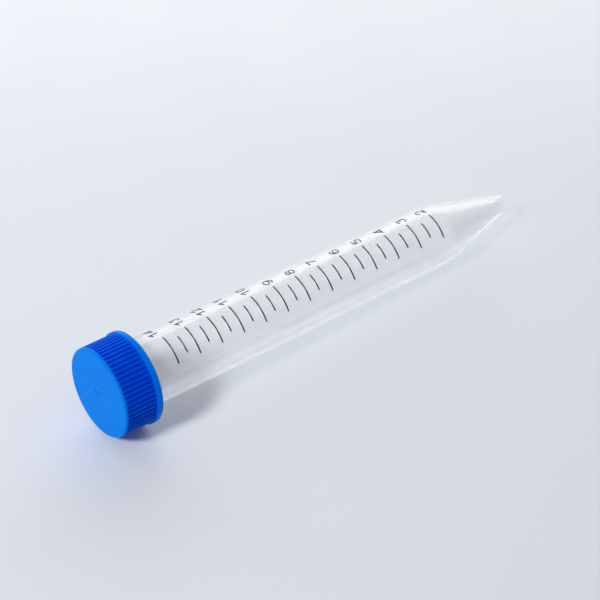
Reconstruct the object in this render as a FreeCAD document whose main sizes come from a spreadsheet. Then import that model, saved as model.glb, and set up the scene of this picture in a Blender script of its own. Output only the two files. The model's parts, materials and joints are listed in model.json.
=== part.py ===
import FreeCAD, Part
import Sketcher
import math
import os

# A 15 mL conical centrifuge tube with its screw cap, lying at rest on a level surface.
# Every sub-part is modelled upright on its own axis: Z runs up the tube, the tip of the cone is at
# Z = 0 and the cap is at the top. A Placement then lays it down on the cap's flange and the shoulder.

# ---------------------------------------------------------------- driving dimensions, in millimetres

DIMENSIONS = {
    # tube
    "tube_height": 117.8,
    "shoulder_height": 21.2,
    "shoulder_radius": 7.53,
    "draft_ratio": 0.00654,
    "tube_wall": 0.82,
    "cone_foot_radius": 2.48,
    "tip_round": 1.8,
    "floor_thickness": 1.2,
    "inner_foot_radius": 1.63,
    "inner_shoulder_drop": 0.1,
    # thread
    "thread_pitch": 3.2,
    "thread_start": 112.55,
    "tube_thread_turns": 1.25,
    "tube_thread_radius": 9.25,
    "cap_thread_turns": 1.5,
    "cap_thread_radius": 8.5,
    "thread_base_width": 1.7,
    "thread_crest_width": 0.8,
    "thread_root_bite": 0.25,
    "thread_lift": 0.2,
    # cap
    "cap_bottom": 110.1,
    "cap_top": 120.0,
    "cap_plate": 1.4,
    "cap_bore_radius": 9.55,
    "flange_radius": 11.3,
    "flange_depth": 1.3,
    "rib_root_radius": 10.65,
    "rib_crest_radius": 10.95,
    "rib_base_width": 0.8,
    "rib_crest_width": 0.3,
    "rib_count": 60,
    "cap_rim_band": 0.8,
    "cap_edge_round": 0.6,
    "plug_radius": 7.15,
    "plug_wall": 0.8,
    "plug_depth": 1.9,
    "gate_radius": 1.1,
    "gate_depth": 0.15,
    # seal
    "seal_inner_radius": 7.3,
    "seal_outer_radius": 9.2,
    # print
    "ink_thickness": 0.05,
    "line_width": 0.33,
    "major_arc_degrees": 52.5,
    "minor_arc_degrees": 31.4,
    "scale_turn_degrees": 28.3,
    "volume_at_shoulder": 1562.0,
    "numeral_gap": 1.14,
    "numeral_width": 1.95,
    "numeral_height": 2.5,
    "numeral_pitch": 2.25,
    "end_numeral_shift": 1.05,
}

MAJOR_MILLILITRES = range(2, 15)
CUBIC_MM_PER_ML = 1000.0

doc = FreeCAD.newDocument("centrifuge_tube")
sheet = doc.addObject("Spreadsheet::Sheet", "Sizes")
for row, (alias, value) in enumerate(DIMENSIONS.items(), start=1):
    sheet.set(f"A{row}", alias)
    sheet.set(f"B{row}", str(value))
    sheet.setAlias(f"B{row}", alias)
doc.recompute()


def size(alias):
    """The number in the sheet's cell of that name."""
    return float(sheet.get(alias))


# ---------------------------------------------------------------- how the tube lies

# The tube rests on the lower edge of the cap's flange and on the shoulder of the cone.
REST_SLOPE = math.atan2(
    size("flange_radius") - size("shoulder_radius"),
    size("cap_bottom") - size("shoulder_height"),
)
# How far the model reaches past the tip, and past the tip towards the cap, along the surface.
TIP_REACH = (
    (size("cone_foot_radius") - size("tip_round")) * math.sin(REST_SLOPE)
    + size("tip_round") * (1 - math.cos(REST_SLOPE))
)
CAP_REACH = (
    (size("rib_crest_radius") - size("cap_edge_round")) * math.sin(REST_SLOPE)
    + (size("cap_top") - size("cap_edge_round")) * math.cos(REST_SLOPE)
    + size("cap_edge_round")
)
TIP_CENTRE = FreeCAD.Vector(
    (CAP_REACH - TIP_REACH) / 2,
    0,
    size("flange_radius") * math.cos(REST_SLOPE) - size("cap_bottom") * math.sin(REST_SLOPE),
)


def lying(turn_degrees=0.0):
    """The Placement that lays an upright sub-part down, after turning it about its own axis."""
    lay_down = FreeCAD.Rotation(FreeCAD.Vector(0, 1, 0), math.degrees(REST_SLOPE) - 90)
    turn = FreeCAD.Rotation(FreeCAD.Vector(0, 0, 1), turn_degrees)
    return FreeCAD.Placement(TIP_CENTRE, lay_down.multiply(turn))


# ---------------------------------------------------------------- helpers

def new_body(label):
    """An empty PartDesign body whose Label names the sub-part's file."""
    body = doc.addObject("PartDesign::Body", label)
    body.Label = label
    return body


def origin_feature(body, role):
    """The body's own origin plane or axis with that role."""
    return next(item for item in body.Origin.OriginFeatures if item.Role == role)


def bind_point(sketch, edge, x_formula, y_formula):
    """Fix the start point of an edge at two formulas of the sheet's cells."""
    for kind, formula, axis in (("DistanceX", x_formula, -2), ("DistanceY", y_formula, -1)):
        if formula == "0":
            sketch.addConstraint(Sketcher.Constraint("PointOnObject", edge, 1, axis))
            continue
        value = float(sketch.evalExpression(formula))
        index = sketch.addConstraint(Sketcher.Constraint(kind, -1, 1, edge, 1, value))
        sketch.setExpression(f"Constraints[{index}]", formula)


def closed_outline(sketch, corners):
    """Draw a closed outline of straight edges whose corners are pairs of formulas."""
    points = []
    for x_formula, y_formula in corners:
        x = float(sketch.evalExpression(x_formula))
        y = float(sketch.evalExpression(y_formula))
        points.append(FreeCAD.Vector(x, y, 0))
    ends = points[1:] + points[:1]
    edges = [sketch.addGeometry(Part.LineSegment(a, b), False) for a, b in zip(points, ends)]
    for edge, following in zip(edges, edges[1:] + edges[:1]):
        sketch.addConstraint(Sketcher.Constraint("Coincident", edge, 2, following, 1))
    for edge, (x_formula, y_formula) in zip(edges, corners):
        bind_point(sketch, edge, x_formula, y_formula)


def new_sketch(body, name, plane_role, outlines):
    """A sketch on one of the body's origin planes, holding closed outlines of formulas."""
    sketch = body.newObject("Sketcher::SketchObject", name)
    sketch.AttachmentSupport = (origin_feature(body, plane_role), "")
    sketch.MapMode = "FlatFace"
    for corners in outlines:
        closed_outline(sketch, corners)
    doc.recompute()
    return sketch


def revolved(body, name, outlines, angle="360"):
    """A solid of revolution about Z. Its outlines hold (radius, height) corners."""
    sketch = new_sketch(body, name + "_profile", "XZ_Plane", outlines)
    feature = body.newObject("PartDesign::Revolution", name)
    feature.Profile = sketch
    feature.ReferenceAxis = (sketch, ["V_Axis"])
    feature.Midplane = True
    feature.setExpression("Angle", angle)
    doc.recompute()
    return feature


def circular_edges(shape, radius, height):
    """Names of the edges that are circles about Z of that radius at that height."""
    names = []
    for number, edge in enumerate(shape.Edges, start=1):
        box = edge.BoundBox
        flat = abs(box.ZMin - height) < 1e-4 and abs(box.ZMax - height) < 1e-4
        if flat and abs(box.XMax - radius) < 1e-3 and abs(box.XMin + radius) < 1e-3:
            names.append(f"Edge{number}")
    return names


def rounded(body, name, base, radius, height, round_alias):
    """A fillet on the circular edge at that radius and height."""
    feature = body.newObject("PartDesign::Fillet", name)
    feature.Base = (base, circular_edges(base.Shape, radius, height))
    feature.setExpression("Radius", f"Sizes.{round_alias}")
    doc.recompute()
    return feature


def threaded(body, name, root_radius, crest_radius, start_height, turns_alias):
    """A right-hand thread ridge of trapezium section, fused to the body."""
    half_base = "Sizes.thread_base_width / 2"
    half_crest = "Sizes.thread_crest_width / 2"
    sketch = new_sketch(body, name + "_profile", "XZ_Plane", [[
        (root_radius, f"{start_height} - {half_base}"),
        (crest_radius, f"{start_height} - {half_crest}"),
        (crest_radius, f"{start_height} + {half_crest}"),
        (root_radius, f"{start_height} + {half_base}"),
    ]])
    feature = body.newObject("PartDesign::AdditiveHelix", name)
    feature.Profile = sketch
    feature.ReferenceAxis = (sketch, ["V_Axis"])
    feature.Mode = 1
    feature.setExpression("Pitch", "Sizes.thread_pitch")
    feature.setExpression("Turns", f"Sizes.{turns_alias}")
    feature.LeftHanded = False
    doc.recompute()
    return feature


# ---------------------------------------------------------------- tube_body: the clear moulded tube

def wall_radius(height):
    """Formula of the tube's outer radius at a height above the shoulder."""
    return f"(Sizes.shoulder_radius + Sizes.draft_ratio * ({height} - Sizes.shoulder_height))"


tube_body = new_body("tube_body")
tube_wall = revolved(tube_body, "tube_wall", [[
    ("0", "0"),
    ("Sizes.cone_foot_radius", "0"),
    ("Sizes.shoulder_radius", "Sizes.shoulder_height"),
    (wall_radius("Sizes.tube_height"), "Sizes.tube_height"),
    (wall_radius("Sizes.tube_height") + " - Sizes.tube_wall", "Sizes.tube_height"),
    ("Sizes.shoulder_radius - Sizes.tube_wall", "Sizes.shoulder_height - Sizes.inner_shoulder_drop"),
    ("Sizes.inner_foot_radius", "Sizes.floor_thickness"),
    ("0", "Sizes.floor_thickness"),
]])
tube_tip = rounded(tube_body, "tube_tip", tube_wall, size("cone_foot_radius"), 0, "tip_round")
tube_thread = threaded(
    tube_body,
    "tube_thread",
    wall_radius("Sizes.thread_start") + " - Sizes.thread_root_bite",
    "Sizes.tube_thread_radius",
    "Sizes.thread_start",
    "tube_thread_turns",
)
tube_body.Placement = lying()

# ---------------------------------------------------------------- screw_cap: ribbed cap with a plug lip

PLATE_UNDERSIDE = "Sizes.cap_top - Sizes.cap_plate"
FLANGE_TOP = "Sizes.cap_bottom + Sizes.flange_depth"
BAND_BOTTOM = "Sizes.cap_top - Sizes.cap_rim_band"

screw_cap = new_body("screw_cap")
cap_shell = revolved(screw_cap, "cap_shell", [[
    ("0", "Sizes.cap_top - Sizes.gate_depth"),
    ("Sizes.gate_radius", "Sizes.cap_top - Sizes.gate_depth"),
    ("Sizes.gate_radius", "Sizes.cap_top"),
    ("Sizes.rib_crest_radius", "Sizes.cap_top"),
    ("Sizes.rib_crest_radius", BAND_BOTTOM),
    ("Sizes.rib_root_radius", BAND_BOTTOM),
    ("Sizes.rib_root_radius", FLANGE_TOP),
    ("Sizes.flange_radius", FLANGE_TOP),
    ("Sizes.flange_radius", "Sizes.cap_bottom"),
    ("Sizes.cap_bore_radius", "Sizes.cap_bottom"),
    ("Sizes.cap_bore_radius", PLATE_UNDERSIDE),
    ("Sizes.plug_radius", PLATE_UNDERSIDE),
    ("Sizes.plug_radius", PLATE_UNDERSIDE + " - Sizes.plug_depth"),
    ("Sizes.plug_radius - Sizes.plug_wall", PLATE_UNDERSIDE + " - Sizes.plug_depth"),
    ("Sizes.plug_radius - Sizes.plug_wall", PLATE_UNDERSIDE),
    ("0", PLATE_UNDERSIDE),
]])
cap_edge = rounded(
    screw_cap, "cap_edge", cap_shell, size("rib_crest_radius"), size("cap_top"), "cap_edge_round"
)

rib_sketch = new_sketch(screw_cap, "rib_profile", "XY_Plane", [])
rib_sketch.setExpression("AttachmentOffset.Base.z", FLANGE_TOP)
ROOT = "Sizes.rib_root_radius - Sizes.rib_crest_width"
HALF_BASE = "Sizes.rib_base_width / 2"
HALF_CREST = "Sizes.rib_crest_width / 2"
closed_outline(rib_sketch, [
    (ROOT, "-" + HALF_BASE),
    ("Sizes.rib_crest_radius", "-" + HALF_CREST),
    ("Sizes.rib_crest_radius", HALF_CREST),
    (ROOT, HALF_BASE),
])
rib = screw_cap.newObject("PartDesign::Pad", "rib")
rib.Profile = rib_sketch
rib.setExpression("Length", f"{BAND_BOTTOM} - ({FLANGE_TOP})")
doc.recompute()
ribs = screw_cap.newObject("PartDesign::PolarPattern", "ribs")
ribs.Originals = [rib]
ribs.Axis = (rib_sketch, ["N_Axis"])
ribs.Angle = 360
ribs.setExpression("Occurrences", "Sizes.rib_count")
screw_cap.Tip = ribs
doc.recompute()
cap_thread = threaded(
    screw_cap,
    "cap_thread",
    "Sizes.cap_bore_radius + Sizes.thread_root_bite",
    "Sizes.cap_thread_radius",
    "Sizes.thread_start - Sizes.thread_pitch / 2 + Sizes.thread_lift",
    "cap_thread_turns",
)
screw_cap.Placement = lying()

# ---------------------------------------------------------------- seal_ring: soft ring on the tube's rim

seal_ring = new_body("seal_ring")
revolved(seal_ring, "seal_ring_section", [[
    ("Sizes.seal_inner_radius", "Sizes.tube_height"),
    ("Sizes.seal_outer_radius", "Sizes.tube_height"),
    ("Sizes.seal_outer_radius", PLATE_UNDERSIDE),
    ("Sizes.seal_inner_radius", PLATE_UNDERSIDE),
]])
seal_ring.Placement = lying()

# ---------------------------------------------------------------- the printed volume scale

def bore_radius_at(volume):
    """Formula of the bore's radius at the level that holds a volume in cubic millimetres."""
    shoulder_bore = "pow(Sizes.shoulder_radius - Sizes.tube_wall; 3)"
    above_shoulder = f"({volume} - Sizes.volume_at_shoulder)"
    return f"cbrt({shoulder_bore} + 3 * Sizes.draft_ratio * {above_shoulder} / pi)"


def level_of(volume):
    """Formula of the height of that level. The bore widens evenly from the shoulder up."""
    widening = f"({bore_radius_at(volume)} - Sizes.shoulder_radius + Sizes.tube_wall)"
    return f"(Sizes.shoulder_height + {widening} / Sizes.draft_ratio)"


def ink_line(volume):
    """The section of one printed line: its inner edge follows the tube's drafted wall."""
    level = level_of(volume)
    outline = []
    for side, depth in (("-", 0), ("+", 0), ("+", 1), ("-", 1)):
        height = f"({level} {side} Sizes.line_width / 2)"
        outline.append((f"{wall_radius(height)} + {depth} * Sizes.ink_thickness", height))
    return outline


def graduations(label, volumes, arc_alias):
    """A body of printed lines, one at the level of each volume, centred on the scale."""
    body = new_body(label)
    outlines = [ink_line(volume) for volume in volumes]
    revolved(body, label + "_arcs", outlines, f"Sizes.{arc_alias}")
    body.Placement = lying(-size("scale_turn_degrees"))
    return body


major_volumes = [CUBIC_MM_PER_ML * count for count in MAJOR_MILLILITRES]
minor_volumes = [volume + CUBIC_MM_PER_ML / 2 for volume in major_volumes[:-1]]
major_graduations = graduations("major_graduations", major_volumes, "major_arc_degrees")
minor_graduations = graduations("minor_graduations", minor_volumes, "minor_arc_degrees")

# ---------------------------------------------------------------- numerals: printed beside the lines

# Each digit is drawn with strokes on a cell one unit wide and one unit high. A stroke is a list of
# points: a pair is a straight corner, and a triple (x, y, ARC) is the middle point of an arc.
ARC = "arc"
BOWL_LOW = [(0, 0.32), (0.5, 0, ARC), (1, 0.32), (0.5, 0.62, ARC), (0, 0.32)]
BOWL_HIGH = [(0, 0.68), (0.5, 0.38, ARC), (1, 0.68), (0.5, 1, ARC), (0, 0.68)]
SMALL_BOWL = [(0.06, 0.78), (0.5, 0.57, ARC), (0.94, 0.78), (0.5, 1, ARC), (0.06, 0.78)]
STROKES = {
    "0": [[(0, 0.33), (0, 0.67), (0.5, 1, ARC), (1, 0.67), (1, 0.33), (0.5, 0, ARC), (0, 0.33)]],
    "1": [[(0, 0.7), (0.6, 1), (0.6, 0)]],
    "2": [[(0, 0.72), (0.5, 1, ARC), (1, 0.72), (0, 0), (1, 0)]],
    "3": [[(0.02, 0.85), (0.9, 0.78, ARC), (0.4, 0.53)], [(0.4, 0.53), (1, 0.27, ARC), (0, 0.16)]],
    "4": [[(0.75, 0), (0.75, 1), (0, 0.3)], [(0.75, 1), (0, 0.3), (1, 0.3)]],
    "5": [[(0.95, 1), (0.15, 1), (0.05, 0.5)], [(0.05, 0.5), (1, 0.34, ARC), (0, 0.14)]],
    "6": [BOWL_LOW, [(0, 0.32), (0.32, 0.95, ARC), (0.95, 0.85)]],
    "7": [[(0, 1), (1, 1), (0.35, 0)]],
    "8": [BOWL_LOW, SMALL_BOWL],
    "9": [BOWL_HIGH, [(1, 0.68), (0.68, 0.05, ARC), (0.05, 0.15)]],
}
PUNCH_DEPTH = 1.0


def stroke_edges(stroke, width, height):
    """The edges of one stroke's centre line, drawn in the YZ plane."""
    spots = [FreeCAD.Vector(0, spot[0] * width, spot[1] * height) for spot in stroke]
    edges = []
    number = 0
    while number < len(stroke) - 1:
        if stroke[number + 1][-1] == ARC:
            edges.append(Part.Arc(*spots[number:number + 3]).toShape())
            number += 2
        else:
            edges.append(Part.LineSegment(spots[number], spots[number + 1]).toShape())
            number += 1
    return edges


def digit_punch(digit):
    """A punch of one digit's strokes along X, centred on the origin's height."""
    ink = size("line_width")
    width = size("numeral_width") - ink
    height = size("numeral_height") - ink
    strokes = []
    for stroke in STROKES[digit]:
        line = Part.Wire(stroke_edges(stroke, width, height))
        area = Part.Face(line.makeOffset2D(ink / 2, 0, False, False))
        if line.isClosed():
            area = area.cut(Part.Face(line.makeOffset2D(-ink / 2, 0, False, False)))
        area.translate(FreeCAD.Vector(-PUNCH_DEPTH, -width / 2, -height / 2))
        strokes.append(area.extrude(FreeCAD.Vector(2 * PUNCH_DEPTH, 0, 0)))
    punch = strokes[0]
    for stroke in strokes[1:]:
        punch = punch.fuse(stroke)
    return punch


def wall_radius_at(height):
    """The tube's outer radius, as a number, at a height above the shoulder."""
    return float(sheet.evalExpression(wall_radius(height)))


def wall_cone(bottom, top, proud):
    """A solid cone that follows the tube's wall between two heights, standing proud of it."""
    return Part.makeCone(
        wall_radius_at(bottom) + proud,
        wall_radius_at(top) + proud,
        top - bottom,
        FreeCAD.Vector(0, 0, bottom),
    )


def numeral_solids(count, ink_layer):
    """The digits of one numeral, wrapped on the wall at the level of its line."""
    level = float(sheet.evalExpression(level_of(CUBIC_MM_PER_ML * count)))
    radius = wall_radius_at(level)
    if count in (MAJOR_MILLILITRES[0], MAJOR_MILLILITRES[-1]):
        level += size("end_numeral_shift")
    solids = []
    for place, digit in enumerate(str(count)):
        past_line = size("numeral_gap") + place * size("numeral_pitch") + size("numeral_width") / 2
        turn = size("major_arc_degrees") / 2 + math.degrees(past_line / radius)
        punch = digit_punch(digit)
        punch.translate(FreeCAD.Vector(radius, 0, level))
        punch.rotate(FreeCAD.Vector(0, 0, 0), FreeCAD.Vector(0, 0, 1), turn)
        solids += punch.common(ink_layer).Solids
    return solids


ink_layer = wall_cone(size("shoulder_height"), size("cap_bottom"), size("ink_thickness")).cut(
    wall_cone(size("shoulder_height"), size("cap_bottom"), 0)
)
numerals = doc.addObject("Part::Feature", "numerals")
numerals.Label = "numerals"
numerals.Shape = Part.makeCompound(
    [solid for count in MAJOR_MILLILITRES for solid in numeral_solids(count, ink_layer)]
)
numerals.Placement = lying(-size("scale_turn_degrees"))

# ---------------------------------------------------------------- checks and files

SUB_PARTS = [tube_body, screw_cap, seal_ring, major_graduations, minor_graduations, numerals]

doc.recompute()
for item in doc.Objects:
    if "Invalid" in item.State or "Error" in item.State:
        raise RuntimeError(f"{item.Name} did not compute: {item.State}")

one_rib = rib.Shape.Volume - cap_edge.Shape.Volume
all_ribs = ribs.Shape.Volume - cap_edge.Shape.Volume
if abs(all_ribs - size("rib_count") * one_rib) > 0.01 * all_ribs:
    raise RuntimeError("the ribs do not run all round the cap")

for ridge, plain in ((tube_thread, tube_tip), (cap_thread, ribs)):
    if ridge.Shape.Volume <= plain.Shape.Volume:
        raise RuntimeError(f"{ridge.Name} adds nothing")

os.makedirs("parts", exist_ok=True)
for sub_part in SUB_PARTS:
    shape = sub_part.Shape
    if shape.isNull() or not shape.isValid():
        raise RuntimeError(f"{sub_part.Label} has no sound shape")
    shape.exportStep(f"parts/{sub_part.Label}.step")
    print(f"{sub_part.Label}: {len(shape.Solids)} solids, {shape.Volume:.2f} cubic mm")
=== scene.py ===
import json
import math

import bpy
import numpy as np
from mathutils import Matrix, Vector


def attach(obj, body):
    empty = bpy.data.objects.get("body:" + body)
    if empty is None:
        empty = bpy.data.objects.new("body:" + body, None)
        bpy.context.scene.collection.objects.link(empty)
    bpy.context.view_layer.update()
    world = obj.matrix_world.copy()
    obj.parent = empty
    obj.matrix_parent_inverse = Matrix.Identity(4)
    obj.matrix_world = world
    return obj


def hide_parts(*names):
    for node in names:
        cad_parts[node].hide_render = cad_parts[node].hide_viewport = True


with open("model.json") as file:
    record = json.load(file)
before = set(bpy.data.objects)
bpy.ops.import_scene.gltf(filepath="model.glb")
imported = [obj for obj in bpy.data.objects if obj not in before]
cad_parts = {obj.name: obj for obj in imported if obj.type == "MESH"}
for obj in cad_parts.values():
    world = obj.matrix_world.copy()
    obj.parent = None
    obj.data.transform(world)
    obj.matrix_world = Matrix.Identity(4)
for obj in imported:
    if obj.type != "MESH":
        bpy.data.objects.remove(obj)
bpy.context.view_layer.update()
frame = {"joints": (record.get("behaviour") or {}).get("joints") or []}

# A conical centrifuge tube with a screw cap, lying on a pale table. Sizes are in millimetres on the
# tube's own upright axis (tip of the cone at height 0, cap at the top); MM turns them into metres.
MM = 0.001

SHOULDER_HEIGHT = 21.2
SHOULDER_RADIUS = 7.53
DRAFT = 0.00654
WALL = 0.82
RIM_HEIGHT = 117.8
FLOOR_THICKNESS = 1.2
CONE_FOOT_RADIUS = 2.48
INNER_FOOT_RADIUS = 1.63

CAP_BOTTOM = 110.1
CAP_TOP = 120.0
CAP_PLATE = 1.4
FLANGE_RADIUS = 11.3
FLANGE_TOP = 111.4
RIB_RADIUS = 10.95
RIB_DEPTH = 0.3
RIB_COUNT = 60
CAP_BORE_RADIUS = 9.55
PLUG_RADIUS = 7.15
PLUG_WALL = 0.8
PLUG_DEPTH = 1.9

THREAD_PITCH = 3.2
THREAD_START = 112.55
THREAD_LIFT = 0.2
THREAD_HALF_BASE = 0.77
THREAD_HALF_CREST = 0.4
THREAD_FADE = math.radians(20)
TUBE_THREAD_RADIUS = 9.25
TUBE_THREAD_TURNS = 1.25
CAP_THREAD_RADIUS = 8.5
CAP_THREAD_TURNS = 1.5

SEAL_INNER_RADIUS = 7.3
SEAL_OUTER_RADIUS = 9.2

# The clear plastic bends light below the first height over the axis, and not above the second.
BENDING_BELOW = 1.0
CLEAN_ABOVE = 4.0
# The thick foot of the cone is milkier from its tip up to here.
MILKY_FOOT_HEIGHT = 9.0

LINE_WIDTH = 0.33
INK_PROUD = 0.05
INK_SUNK = 0.01
MAJOR_ARC = math.radians(52.5)
MINOR_ARC = math.radians(31.4)
SCALE_TURN = math.radians(-28.3)
VOLUME_AT_SHOULDER = 1562.0
NUMERAL_GAP = 1.14
NUMERAL_WIDTH = 1.95
NUMERAL_HEIGHT = 2.5
NUMERAL_PITCH = 2.25
END_NUMERAL_SHIFT = 1.05


# ------------------------------------------------------------------ the tube's own frame

def upright_to_row():
    """The matrix from the tube's upright frame, in metres, to the row's frame."""
    turn = next(joint for joint in frame["joints"] if joint["name"] == "cap_turn")
    axis = Vector(turn["axis"]).normalized()
    up = (Vector((0, 0, 1)) - axis * axis.z).normalized()
    across = axis.cross(up)
    tip = Vector(turn["pos_m"]) - axis * (CAP_TOP - CAP_PLATE) * MM
    return Matrix((
        (up.x, across.x, axis.x, tip.x),
        (up.y, across.y, axis.y, tip.y),
        (up.z, across.z, axis.z, tip.z),
        (0, 0, 0, 1),
    ))


TO_ROW = upright_to_row()


def add_mesh(name, points, faces, material, body, slot, *nodes):
    """A smooth piece from points in upright millimetres. It rides a body and stands for CAD nodes."""
    mesh = bpy.data.meshes.new(name)
    mesh.from_pydata((np.asarray(points) * MM).tolist(), [], faces)
    mesh.transform(TO_ROW)
    mesh.shade_smooth()
    mesh.materials.append(material)
    piece = bpy.data.objects.new(name, mesh)
    bpy.context.scene.collection.objects.link(piece)
    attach(piece, body)
    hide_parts(*nodes)
    return piece


# ------------------------------------------------------------------ turned shapes

def rounded_path(corners, closed=False):
    """Points of an outline through (radius, height, rounding) corners, with an arc at each rounding."""
    spots = [np.array(corner[:2], float) for corner in corners]
    path = []
    for number, (spot, corner) in enumerate(zip(spots, corners)):
        if corner[2] == 0:
            path.append(spot)
            continue
        before = spots[number - 1] - spot
        after = spots[(number + 1) % len(spots)] - spot
        before /= np.linalg.norm(before)
        after /= np.linalg.norm(after)
        half = math.acos(np.clip(before @ after, -1, 1)) / 2
        reach = corner[2] / math.tan(half)
        middle = before + after
        centre = spot + middle / np.linalg.norm(middle) * corner[2] / math.sin(half)
        start = spot + before * reach - centre
        sweep = math.pi - 2 * half
        side = 1 if start[0] * after[1] - start[1] * after[0] > 0 else -1
        steps = max(3, round(math.degrees(sweep) / 9))
        for step in range(steps + 1):
            angle = side * sweep * step / steps
            turned = (
                start[0] * math.cos(angle) - start[1] * math.sin(angle),
                start[0] * math.sin(angle) + start[1] * math.cos(angle),
            )
            path.append(centre + turned)
    if closed:
        path.append(path[0])
    return path


def divided(path, longest):
    """The same outline with its runs divided. longest(a, b) is the longest step between two points."""
    points = [path[0]]
    for a, b in zip(path, path[1:]):
        steps = max(1, math.ceil(np.linalg.norm(b - a) / longest(a, b) - 1e-9))
        points += [a + (b - a) * step / steps for step in range(1, steps + 1)]
    return points


def turned_mesh(path, segments, radius_at):
    """Points and faces of an outline turned about the axis. radius_at(point, angles) is its radius
    at each angle, so that ribs and threads can stand out of it. Ends on the axis close to a point."""
    angles = np.arange(segments) * 2 * math.pi / segments
    points, faces, rings = [], [], []
    for radius, height in path:
        first = len(points)
        if radius < 1e-6:
            points.append((0, 0, height))
            rings.append([first] * segments)
            continue
        radii = radius_at((radius, height), angles)
        points += list(zip(radii * np.cos(angles), radii * np.sin(angles), [height] * segments))
        rings.append(list(range(first, first + segments)))
    for lower, upper in zip(rings, rings[1:]):
        for number in range(segments):
            beside = (number + 1) % segments
            corners = [lower[number], lower[beside], upper[beside], upper[number]]
            faces.append(list(dict.fromkeys(corners)))
    return points, faces


def plain_radius(point, angles):
    """A surface of revolution has the same radius all round."""
    return np.full(len(angles), point[0])


def smooth(value):
    """An S-curve from 0 to 1."""
    value = np.clip(value, 0, 1)
    return value * value * (3 - 2 * value)


def thread_share(height, angles, start, turns):
    """How far a right-hand thread's ridge stands out at a height, from 0 to 1, at each angle."""
    share = np.zeros(len(angles))
    for lap in range(math.ceil(turns)):
        along = angles + lap * 2 * math.pi
        centre = start + THREAD_PITCH * along / (2 * math.pi)
        flank = (THREAD_HALF_BASE - abs(height - centre)) / (THREAD_HALF_BASE - THREAD_HALF_CREST)
        to_end = np.minimum(along, turns * 2 * math.pi - along)
        share = np.maximum(share, np.clip(flank, 0, 1) * smooth(to_end / THREAD_FADE))
    return share


def wall_radius(height):
    """The tube's outer radius above the shoulder."""
    return SHOULDER_RADIUS + DRAFT * (height - SHOULDER_HEIGHT)


# ------------------------------------------------------------------ materials

def new_material(name):
    """An empty node material: the material, its node tree and its Principled shader."""
    material = bpy.data.materials.new(name)
    material.use_nodes = True
    tree = material.node_tree
    return material, tree, tree.nodes["Principled BSDF"]


def noise(tree, scale, detail, stretch=(1, 1, 1)):
    """A noise texture in object space, stretched along the axes."""
    place = tree.nodes.new("ShaderNodeTexCoord")
    mapping = tree.nodes.new("ShaderNodeMapping")
    mapping.inputs["Scale"].default_value = stretch
    texture = tree.nodes.new("ShaderNodeTexNoise")
    texture.inputs["Scale"].default_value = scale
    texture.inputs["Detail"].default_value = detail
    tree.links.new(place.outputs["Object"], mapping.inputs["Vector"])
    tree.links.new(mapping.outputs["Vector"], texture.inputs["Vector"])
    return texture.outputs["Fac"]


def ranged(tree, source, low, high):
    """The source's values from 0.3 to 0.7 spread between low and high."""
    spread = tree.nodes.new("ShaderNodeMapRange")
    spread.inputs["From Min"].default_value = 0.3
    spread.inputs["From Max"].default_value = 0.7
    spread.inputs["To Min"].default_value = low
    spread.inputs["To Max"].default_value = high
    tree.links.new(source, spread.inputs["Value"])
    return spread.outputs["Result"]


def blended(tree, source, first, second):
    """A colour between two, by the source's value."""
    ramp = tree.nodes.new("ShaderNodeValToRGB")
    ramp.color_ramp.elements[0].position = 0.3
    ramp.color_ramp.elements[0].color = (*first, 1)
    ramp.color_ramp.elements[1].position = 0.7
    ramp.color_ramp.elements[1].color = (*second, 1)
    tree.links.new(source, ramp.inputs["Fac"])
    return ramp.outputs["Color"]


def bumped(tree, shader, source, distance, strength):
    """Fine relief on the surface, from the source's height."""
    bump = tree.nodes.new("ShaderNodeBump")
    bump.inputs["Strength"].default_value = strength
    bump.inputs["Distance"].default_value = distance
    tree.links.new(source, bump.inputs["Height"])
    tree.links.new(bump.outputs["Normal"], shader.inputs["Normal"])


def clear_plastic():
    """Clear polypropylene, a little milky. It bends light on its lower side and in the cone's narrow
    end, not on the printed side, where the print has to read through it cleanly."""
    material, tree, shader = new_material("clear_plastic")
    cloud = noise(tree, 60, 2)
    tint = blended(tree, cloud, (0.90, 0.92, 0.94), (0.94, 0.96, 0.97))
    tree.links.new(tint, shader.inputs["Base Color"])
    tree.links.new(ranged(tree, noise(tree, 60, 2), 0.13, 0.17), shader.inputs["Roughness"])
    shader.inputs["IOR"].default_value = 1.49
    shader.inputs["Specular IOR Level"].default_value = 1.0
    tree.links.new(bending(tree), shader.inputs["Transmission Weight"])
    tree.links.new(milkiness(tree, cloud), shader.inputs["Alpha"])
    bumped(tree, shader, noise(tree, 40, 1, (0.35, 1, 1)), 0.00001, 0.1)
    let_lamps_through(tree, shader, (0.91, 0.92, 0.93, 1))
    return material


def bending(tree):
    """How much of the light the wall bends: half on the lower side and none on the printed side."""
    share = tree.nodes.new("ShaderNodeMapRange")
    share.inputs["From Min"].default_value = BENDING_BELOW * MM
    share.inputs["From Max"].default_value = CLEAN_ABOVE * MM
    share.inputs["To Min"].default_value = 0.5
    share.inputs["To Max"].default_value = 0.0
    tree.links.new(above_axis(tree), share.inputs["Value"])
    return share.outputs["Result"]


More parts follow.
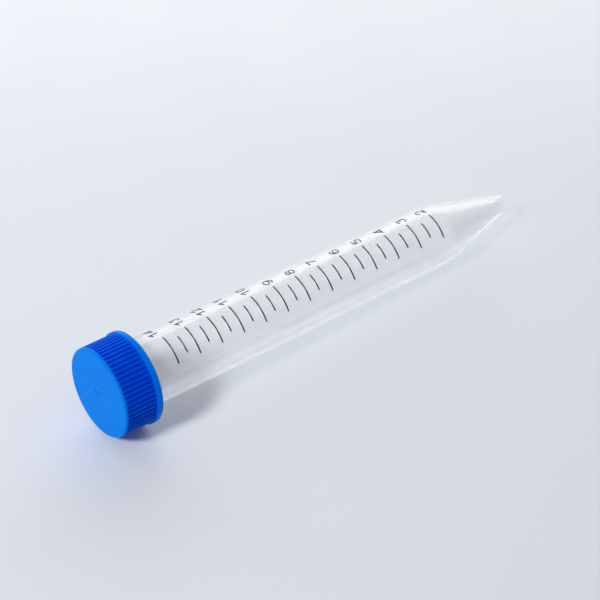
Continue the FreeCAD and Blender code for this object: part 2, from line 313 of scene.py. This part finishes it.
def milkiness(tree, cloud):
    """How opaque the wall is: most where it is seen edge on, and more in the foot of the cone."""
    edge = tree.nodes.new("ShaderNodeLayerWeight")
    edge.inputs["Blend"].default_value = 0.35
    haze = tree.nodes.new("ShaderNodeMapRange")
    haze.inputs["To Max"].default_value = 0.75
    tree.links.new(edge.outputs["Facing"], haze.inputs["Value"])
    tree.links.new(ranged(tree, cloud, 0.07, 0.1), haze.inputs["To Min"])
    foot = tree.nodes.new("ShaderNodeMapRange")
    foot.inputs["From Min"].default_value = MILKY_FOOT_HEIGHT * MM
    foot.inputs["From Max"].default_value = 0.0
    foot.inputs["To Max"].default_value = 0.3
    tree.links.new(along_axis(tree), foot.inputs["Value"])
    thickest = tree.nodes.new("ShaderNodeMath")
    thickest.operation = "MAXIMUM"
    tree.links.new(haze.outputs["Result"], thickest.inputs[0])
    tree.links.new(foot.outputs["Result"], thickest.inputs[1])
    return thickest.outputs["Value"]


def let_lamps_through(tree, shader, colour):
    """Rays from the lamps pass through the surface, tinted, so that what is behind it is lit."""
    clear = tree.nodes.new("ShaderNodeBsdfTransparent")
    clear.inputs["Color"].default_value = colour
    path = tree.nodes.new("ShaderNodeLightPath")
    mixed = tree.nodes.new("ShaderNodeMixShader")
    tree.links.new(path.outputs["Is Shadow Ray"], mixed.inputs["Fac"])
    tree.links.new(shader.outputs["BSDF"], mixed.inputs[1])
    tree.links.new(clear.outputs["BSDF"], mixed.inputs[2])
    tree.links.new(mixed.outputs["Shader"], tree.nodes["Material Output"].inputs["Surface"])


def from_tip(tree):
    """The way from the cone's tip to a point, in metres."""
    place = tree.nodes.new("ShaderNodeTexCoord")
    shift = tree.nodes.new("ShaderNodeVectorMath")
    shift.operation = "SUBTRACT"
    shift.inputs[1].default_value = TO_ROW.translation
    tree.links.new(place.outputs["Object"], shift.inputs[0])
    return shift.outputs["Vector"]


def along_axis(tree):
    """How far a point is up the tube's axis from the cone's tip, in metres."""
    height = tree.nodes.new("ShaderNodeVectorMath")
    height.operation = "DOT_PRODUCT"
    height.inputs[1].default_value = TO_ROW.to_3x3().col[2]
    tree.links.new(from_tip(tree), height.inputs[0])
    return height.outputs["Value"]


def above_axis(tree):
    """How far a point is above the tube's axis, in metres."""
    height = tree.nodes.new("ShaderNodeVectorMath")
    height.operation = "DOT_PRODUCT"
    height.inputs[1].default_value = TO_ROW.to_3x3().col[0]
    tree.links.new(from_tip(tree), height.inputs[0])
    return height.outputs["Value"]


def from_axis(tree):
    """How far a point is from the tube's axis, in metres."""
    cross = tree.nodes.new("ShaderNodeVectorMath")
    cross.operation = "CROSS_PRODUCT"
    cross.inputs[1].default_value = TO_ROW.to_3x3().col[2]
    tree.links.new(from_tip(tree), cross.inputs[0])
    length = tree.nodes.new("ShaderNodeVectorMath")
    length.operation = "LENGTH"
    tree.links.new(cross.outputs["Vector"], length.inputs[0])
    return length.outputs["Value"]


def between(tree, source, low, high, first, second):
    """A colour that goes from first, where the source is low, to second, where it is high."""
    share = tree.nodes.new("ShaderNodeMapRange")
    share.inputs["From Min"].default_value = low
    share.inputs["From Max"].default_value = high
    tree.links.new(source, share.inputs["Value"])
    tint = tree.nodes.new("ShaderNodeMix")
    tint.data_type = "RGBA"
    tree.links.new(share.outputs["Result"], tint.inputs["Factor"])
    tree.links.new(first, tint.inputs["A"])
    tree.links.new(second, tint.inputs["B"])
    return tint.outputs["Result"]


def cap_plastic():
    """Opaque blue polyethylene with a fine satin grain. Painted shade makes the ribbed wall a deeper
    blue, deepest between the ribs, and a tinted sheen gives the gloss the cap's own hue."""
    material, tree, shader = new_material("cap_plastic")
    grain = noise(tree, 120, 3)
    light = blended(tree, grain, (0.0, 0.17, 0.73), (0.0, 0.19, 0.77))
    # Painted shade: the ribbed wall's colours are darker than the top's, and darkest in the valleys
    # between the ribs.
    crest = blended(tree, grain, (0.0, 0.07, 0.66), (0.0, 0.08, 0.7))
    valley = blended(tree, grain, (0.0, 0.035, 0.6), (0.0, 0.04, 0.64))
    valley_radius = RIB_RADIUS - RIB_DEPTH
    ribs = between(tree, from_axis(tree), valley_radius * MM, RIB_RADIUS * MM, valley, crest)
    height = along_axis(tree)
    # The flange band and the top keep the cap's own blue; the ribbed wall between them carries the
    # painted shade.
    skirt_with_painted_shade = between(tree, height, (FLANGE_TOP - 0.4) * MM, (FLANGE_TOP + 0.2) * MM, light, ribs)
    tint = between(tree, height, (CAP_TOP - 1.0) * MM, (CAP_TOP - 0.3) * MM, skirt_with_painted_shade, light)
    tree.links.new(tint, shader.inputs["Base Color"])
    tree.links.new(ranged(tree, noise(tree, 500, 3), 0.3, 0.38), shader.inputs["Roughness"])
    shader.inputs["IOR"].default_value = 1.5
    shader.inputs["Specular IOR Level"].default_value = 0.03
    shader.inputs["Specular Tint"].default_value = (0.05, 0.6, 1.0, 1)
    shader.inputs["Sheen Weight"].default_value = 0.8
    shader.inputs["Sheen Roughness"].default_value = 0.35
    shader.inputs["Sheen Tint"].default_value = (0.0, 0.65, 1.0, 1)
    bumped(tree, shader, noise(tree, 2600, 2), 0.00001, 0.6)
    return material


def seal_rubber():
    """Soft translucent silicone."""
    material, tree, shader = new_material("seal_rubber")
    tint = blended(tree, noise(tree, 300, 3), (0.74, 0.74, 0.72), (0.82, 0.82, 0.8))
    tree.links.new(tint, shader.inputs["Base Color"])
    tree.links.new(ranged(tree, noise(tree, 900, 3), 0.5, 0.65), shader.inputs["Roughness"])
    return material


def scale_ink():
    """Black glossy screen ink, a little uneven."""
    material, tree, shader = new_material("scale_ink")
    tint = blended(tree, noise(tree, 1500, 4), (0.003, 0.003, 0.005), (0.01, 0.01, 0.013))
    tree.links.new(tint, shader.inputs["Base Color"])
    tree.links.new(ranged(tree, noise(tree, 1500, 4), 0.16, 0.24), shader.inputs["Roughness"])
    shader.inputs["Specular IOR Level"].default_value = 0.6
    return material


# ------------------------------------------------------------------ tube

def build_tube(material):
    """The clear tube: outside from the tip to the rim, then inside from the rim to the floor."""
    rim_radius = wall_radius(RIM_HEIGHT)
    path = rounded_path([
        (0, 0, 0),
        (CONE_FOOT_RADIUS, 0, 1.8),
        (SHOULDER_RADIUS, SHOULDER_HEIGHT, 12.0),
        (rim_radius, RIM_HEIGHT, 0.3),
        (rim_radius - WALL, RIM_HEIGHT, 0.3),
        (SHOULDER_RADIUS - WALL, SHOULDER_HEIGHT - 0.1, 12.0),
        (INNER_FOOT_RADIUS, FLOOR_THICKNESS, 1.4),
        (0, FLOOR_THICKNESS, 0),
    ])
    thread_low, thread_high = CAP_BOTTOM + 0.9, RIM_HEIGHT

    def longest(a, b):
        threaded = min(a[1], b[1]) < thread_high and max(a[1], b[1]) > thread_low
        outside = min(a[0], b[0]) > SHOULDER_RADIUS
        if threaded and outside and b[1] > a[1] and a[1] > CAP_BOTTOM - 5:
            return 0.08
        return 1.5

    def radius_at(point, angles):
        radius, height = point
        if radius < rim_radius - WALL / 2 or not thread_low < height < RIM_HEIGHT - 0.31:
            return plain_radius(point, angles)
        ridge = thread_share(height, angles, THREAD_START, TUBE_THREAD_TURNS)
        return radius + (TUBE_THREAD_RADIUS - radius) * ridge

    # One more point on the outside, where the thread's part of the wall begins.
    neck = next(number for number, spot in enumerate(path) if spot[1] > CAP_BOTTOM)
    below = path[neck - 1]
    share = (thread_low - below[1]) / (path[neck][1] - below[1])
    path.insert(neck, below + (path[neck] - below) * share)
    points, faces = turned_mesh(divided(path, longest), 144, radius_at)
    return add_mesh("clear_tube", points, faces, material, "tube", "clear_plastic", "tube_body")


# ------------------------------------------------------------------ cap

def rib_valley(angles):
    """How deep the valley between two ribs is at each angle, from 0 on a crest to 1."""
    phase = np.abs((angles * RIB_COUNT / (2 * math.pi)) % 1 - 0.5) * 2
    return 1 - smooth((phase - 0.25) / 0.5)


def build_cap(material):
    """The blue cap: outside from the middle of the top to the open edge, then inside."""
    plate = CAP_TOP - CAP_PLATE
    path = rounded_path([
        (0, CAP_TOP - 0.04, 0),
        (0.3, CAP_TOP - 0.04, 0.12),
        (0.5, CAP_TOP - 0.2, 0.12),
        (1.0, CAP_TOP - 0.2, 0.25),
        (1.25, CAP_TOP, 0.2),
        (RIB_RADIUS, CAP_TOP, 0.55),
        (RIB_RADIUS, FLANGE_TOP + 0.1, 0.15),
        (FLANGE_RADIUS, FLANGE_TOP - 0.1, 0.2),
        (FLANGE_RADIUS, CAP_BOTTOM, 0.2),
        (CAP_BORE_RADIUS + 0.15, CAP_BOTTOM, 0.1),
        (CAP_BORE_RADIUS, CAP_BOTTOM + 0.3, 0.2),
        (CAP_BORE_RADIUS, plate, 0.3),
        (PLUG_RADIUS, plate, 0.15),
        (PLUG_RADIUS, plate - PLUG_DEPTH, 0.3),
        (PLUG_RADIUS - PLUG_WALL, plate - PLUG_DEPTH, 0.3),
        (PLUG_RADIUS - PLUG_WALL, plate, 0.3),
        (0, plate, 0),
    ])
    thread_start = THREAD_START - THREAD_PITCH / 2 + THREAD_LIFT

    skirt_from, ribs_from = 9.0, 10.0

    def longest(a, b):
        if min(a[0], b[0]) <= skirt_from:
            return 1.2
        return 0.1 if max(a[0], b[0]) < ribs_from else 0.25

    def radius_at(point, angles):
        radius, height = point
        if radius > RIB_RADIUS - 0.45:
            below_edge = smooth((CAP_TOP - 0.45 - height) / 0.5)
            above_flange = smooth((height - FLANGE_TOP - 0.02) / 0.35)
            return radius - RIB_DEPTH * rib_valley(angles) * below_edge * above_flange
        on_bore = abs(radius - CAP_BORE_RADIUS) < 0.15
        if on_bore and CAP_BOTTOM + 0.4 < height < plate - 0.4:
            ridge = thread_share(height, angles, thread_start, CAP_THREAD_TURNS)
            return radius - (CAP_BORE_RADIUS - CAP_THREAD_RADIUS) * ridge
        return plain_radius(point, angles)

    points, faces = turned_mesh(divided(path, longest), RIB_COUNT * 10, radius_at)
    return add_mesh("blue_cap", points, faces, material, "cap", "cap_plastic", "screw_cap")


# ------------------------------------------------------------------ seal

def build_seal(material):
    """The soft ring between the cap's plate and the tube's rim."""
    bottom, top, rounding = RIM_HEIGHT, CAP_TOP - CAP_PLATE, 0.25
    path = rounded_path([
        (SEAL_INNER_RADIUS, bottom, rounding),
        (SEAL_OUTER_RADIUS, bottom, rounding),
        (SEAL_OUTER_RADIUS, top, rounding),
        (SEAL_INNER_RADIUS, top, rounding),
    ], closed=True)
    points, faces = turned_mesh(divided(path, lambda a, b: 0.4), 144, plain_radius)
    return add_mesh("soft_seal", points, faces, material, "seal", "seal_rubber", "seal_ring")


# ------------------------------------------------------------------ printed scale

def level_of(volume):
    """Height of the level that holds a volume in cubic millimetres: the bore widens evenly."""
    bore = SHOULDER_RADIUS - WALL
    grown = (bore ** 3 + 3 * DRAFT * (volume - VOLUME_AT_SHOULDER) / math.pi) ** (1 / 3)
    return SHOULDER_HEIGHT + (grown - bore) / DRAFT


def wrapped(turn, around, height, depth):
    """A point printed on the tube's wall: around is measured along the wall from the angle turn."""
    radius = wall_radius(height)
    angle = turn + around / radius
    return ((radius + depth) * math.cos(angle), (radius + depth) * math.sin(angle), height)


def ribbon(centre, closed, turn, level):
    """Points and faces of one inked stroke that follows centre points (around, up) on the wall."""
    centre = np.array(centre, float)
    last = len(centre) - 1
    points, faces = [], []
    for number, spot in enumerate(centre):
        before = centre[number - 1 if number or closed else 0]
        after = centre[(number + 1) % len(centre) if number < last or closed else last]
        arrive, leave = spot - before, after - spot
        arrive = arrive / (np.linalg.norm(arrive) or 1)
        leave = leave / (np.linalg.norm(leave) or 1)
        along = arrive + leave
        along /= np.linalg.norm(along)
        facing = leave if not arrive.any() else arrive
        mitre = min(2.5, 1 / max(0.1, along @ facing))
        aside = np.array((-along[1], along[0])) * mitre * LINE_WIDTH / 2
        for side, depth in ((-1, -INK_SUNK), (1, -INK_SUNK), (1, INK_PROUD), (-1, INK_PROUD)):
            around, up = spot + side * aside
            points.append(wrapped(turn, around, level + up, depth))
    for number in range(len(centre) if closed else last):
        here, there = 4 * number, 4 * ((number + 1) % len(centre))
        for corner in range(4):
            beside = (corner + 1) % 4
            faces.append([here + corner, here + beside, there + beside, there + corner])
    if not closed:
        faces += [[3, 2, 1, 0], [4 * last, 4 * last + 1, 4 * last + 2, 4 * last + 3]]
    return points, faces


def joined(pieces):
    """Several lists of points and faces as one."""
    points, faces = [], []
    for piece_points, piece_faces in pieces:
        first = len(points)
        points += piece_points
        faces += [[first + corner for corner in face] for face in piece_faces]
    return points, faces


def build_lines(name, volumes, spread, material, node):
    """Printed lines round the wall, one at the level of each volume. Each spans the angle spread."""
    strokes = []
    for volume in volumes:
        level = level_of(volume)
        half = spread / 2 * wall_radius(level)
        centre = [(around, 0) for around in np.linspace(-half, half, 41)]
        strokes.append(ribbon(centre, False, SCALE_TURN, level))
    return add_mesh(name, *joined(strokes), material, "tube", "scale_ink", node)


def arc(x, y, width, height, start, end):
    """Points on part of an ellipse, in a digit's cell, from one angle in degrees to another."""
    steps = max(2, round(abs(end - start) / 10))
    angles = np.radians(np.linspace(start, end, steps + 1))
    return [(x + width * math.cos(angle), y + height * math.sin(angle)) for angle in angles]


def loop(x, y, width, height):
    """Points all round an ellipse, without its first point again."""
    return arc(x, y, width, height, 90, 450)[:-1]


SIX_BOWL = loop(0.5, 0.32, 0.5, 0.32)
SIX_TAIL = arc(0.58, 0.38, 0.58, 0.62, 180, 50)
# Each digit's strokes in a cell one unit wide and high, as (closed, points).
DIGITS = {
    "0": [(True, loop(0.5, 0.5, 0.5, 0.5))],
    "1": [(False, [(0.02, 0.72), (0.6, 1), (0.6, 0)])],
    "2": [(False, arc(0.5, 0.7, 0.46, 0.3, 170, -35) + [(0.03, 0), (1, 0)])],
    "3": [
        (False, arc(0.47, 0.765, 0.43, 0.235, 160, -90)),
        (False, arc(0.47, 0.265, 0.5, 0.265, 90, -160)),
    ],
    "4": [(False, [(0.74, 0), (0.74, 1), (0, 0.29), (1, 0.29)])],
    "5": [
        (False, [(0.93, 1), (0.2, 1), (0.1, 0.52)]),
        (False, arc(0.48, 0.33, 0.5, 0.33, 142, -155)),
    ],
    "6": [(True, SIX_BOWL), (False, SIX_TAIL)],
    "7": [(False, [(0, 1), (1, 1), (0.36, 0)])],
    "8": [(True, loop(0.5, 0.28, 0.5, 0.28)), (True, loop(0.5, 0.77, 0.43, 0.23))],
    "9": [
        (True, [(1 - x, 1 - y) for x, y in SIX_BOWL]),
        (False, [(1 - x, 1 - y) for x, y in SIX_TAIL]),
    ],
}


def build_numerals(material):
    """The numerals 2 to 14, each centred on its line, with the first and last nearer the cap."""
    cell = np.array((NUMERAL_WIDTH - LINE_WIDTH, NUMERAL_HEIGHT - LINE_WIDTH))
    strokes = []
    for count in range(2, 15):
        level = level_of(1000 * count)
        if count in (2, 14):
            level += END_NUMERAL_SHIFT
        turn = SCALE_TURN + MAJOR_ARC / 2
        for place, digit in enumerate(str(count)):
            corner = np.array((
                NUMERAL_GAP + place * NUMERAL_PITCH + LINE_WIDTH / 2,
                -cell[1] / 2,
            ))
            for closed, spots in DIGITS[digit]:
                centre = [corner + np.array(spot) * cell for spot in spots]
                if not closed:
                    centre = divided(centre, lambda a, b: 0.2)
                strokes.append(ribbon(centre, closed, turn, level))
    return add_mesh("scale_numbers", *joined(strokes), material, "tube", "scale_ink", "numerals")


# ------------------------------------------------------------------ studio

def build_floor():
    """A plain pale table top."""
    material, tree, shader = new_material("pale_table")
    tint = blended(tree, noise(tree, 3, 2), (0.70, 0.725, 0.77), (0.72, 0.745, 0.79))
    tree.links.new(tint, shader.inputs["Base Color"])
    tree.links.new(ranged(tree, noise(tree, 40, 3), 0.42, 0.5), shader.inputs["Roughness"])
    shader.inputs["Specular IOR Level"].default_value = 0.35
    mesh = bpy.data.meshes.new("table_top")
    half = 3.0
    corners = [(-half, -half, 0), (half, -half, 0), (half, half, 0), (-half, half, 0)]
    mesh.from_pydata(corners, [], [(0, 1, 2, 3)])
    mesh.materials.append(material)
    floor = bpy.data.objects.new("table_top", mesh)
    bpy.context.scene.collection.objects.link(floor)


def add_softbox(name, azimuth, elevation, distance, width, height, power, colour):
    """A soft rectangular light that faces the tube. Azimuth 0 is +Y, and it turns towards +X."""
    light = bpy.data.lights.new(name, "AREA")
    light.shape = "RECTANGLE"
    light.size = width
    light.size_y = height
    light.energy = power
    light.color = colour
    lamp = bpy.data.objects.new(name, light)
    away = Vector((
        math.sin(math.radians(azimuth)) * math.cos(math.radians(elevation)),
        math.cos(math.radians(azimuth)) * math.cos(math.radians(elevation)),
        math.sin(math.radians(elevation)),
    ))
    lamp.location = away * distance
    lamp.rotation_euler = (-away).to_track_quat("-Z", "Y").to_euler()
    lamp.visible_camera = False
    bpy.context.scene.collection.objects.link(lamp)
    return lamp


def build_world():
    """Even pale light from all round."""
    world = bpy.data.worlds.new("studio")
    world.use_nodes = True
    background = world.node_tree.nodes["Background"]
    background.inputs["Color"].default_value = (0.86, 0.9, 1.0, 1)
    background.inputs["Strength"].default_value = 0.29
    bpy.context.scene.world = world


def build_camera():
    """The camera looks down on the tube from beyond its cap, through a long lens."""
    azimuth, elevation, distance = math.radians(-37.85), math.radians(41.3), 0.6315
    look = Vector((
        -math.sin(azimuth) * math.cos(elevation),
        math.cos(azimuth) * math.cos(elevation),
        -math.sin(elevation),
    ))
    aim = Vector((0.0069, 0.0123, -0.0049))
    lens = bpy.data.cameras.new("camera")
    lens.sensor_width = 36
    lens.lens = 156.4
    lens.clip_start = 0.01
    camera = bpy.data.objects.new("camera", lens)
    camera.location = aim - look * distance
    camera.rotation_euler = look.to_track_quat("-Z", "Y").to_euler()
    bpy.context.scene.collection.objects.link(camera)
    bpy.context.scene.camera = camera


bpy.context.scene.view_settings.view_transform = "Standard"
build_camera()
build_world()
build_floor()
add_softbox("back_softbox", 30, 22, 0.6, 1.1, 0.36, 3.0, (1, 0.98, 0.94))
add_softbox("low_softbox", 40, 20, 0.235, 0.5, 0.05, 0.09, (1, 0.98, 0.95))
add_softbox("key_softbox", -98, 42, 1.1, 0.22, 0.22, 8.9, (0.97, 0.97, 0.96))

ink = scale_ink()
build_tube(clear_plastic())
build_cap(cap_plastic())
build_seal(seal_rubber())
major_volumes = [1000 * count for count in range(2, 15)]
minor_volumes = [volume + 500 for volume in major_volumes[:-1]]
build_lines("major_lines", major_volumes, MAJOR_ARC, ink, "major_graduations")
build_lines("minor_lines", minor_volumes, MINOR_ARC, ink, "minor_graduations")
build_numerals(ink)
